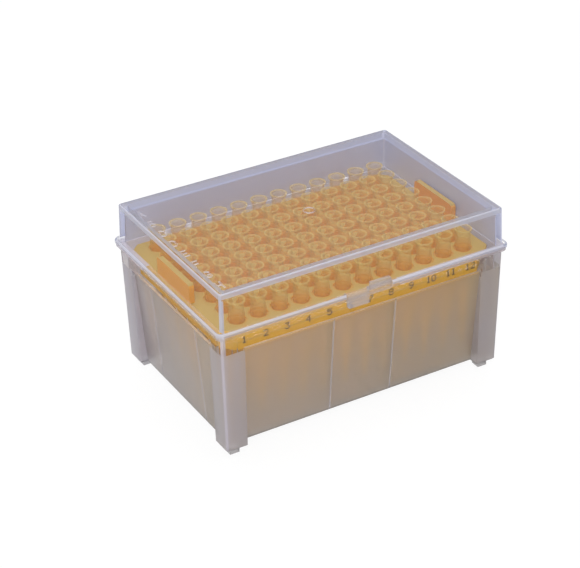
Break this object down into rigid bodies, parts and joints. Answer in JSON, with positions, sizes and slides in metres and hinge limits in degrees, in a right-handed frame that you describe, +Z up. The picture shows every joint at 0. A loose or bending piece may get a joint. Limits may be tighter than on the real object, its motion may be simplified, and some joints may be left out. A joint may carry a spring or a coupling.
{
  "type": "box of pipette tips",
  "caption": "Clear hinged laboratory box whose yellow tray holds rows of pipette tips, each hanging by its collar, with a catch at the front and a stacking edge around the lid.",
  "frame": {"origin": "on the surface that the feet stand on, under the middle of the grid of tips", "axes": "+Z up; +X along the rows, from the first column of tips to the last, which is the box's long side; the catch is at -Y and the lid's hinge at +Y"},
  "size_m": [0.1266, 0.0916, 0.0709],
  "materials": {
    "clear_plastic": "satin",
    "tray_plastic": "satin",
    "tip_plastic": "satin"
  },
  "bodies": {
    "base": {"base": "clear_plastic", "tray": "tray_plastic", "tips_column_01": "tip_plastic", "tips_column_02": "tip_plastic", "tips_column_03": "tip_plastic", "tips_column_04": "tip_plastic", "tips_column_05": "tip_plastic", "tips_column_06": "tip_plastic", "tips_column_07": "tip_plastic", "tips_column_08": "tip_plastic", "tips_column_09": "tip_plastic", "tips_column_10": "tip_plastic", "tips_column_11": "tip_plastic", "tips_column_12": "tip_plastic"},
    "lid": {"lid": "clear_plastic"}
  },
  "joints": [
    {"name": "lid_hinge", "type": "hinge", "parent": "base", "child": "lid", "pos_m": [0, 0.0456, 0.0544], "axis": [-1, 0, 0], "range_deg": [0, 110]}
  ]
}
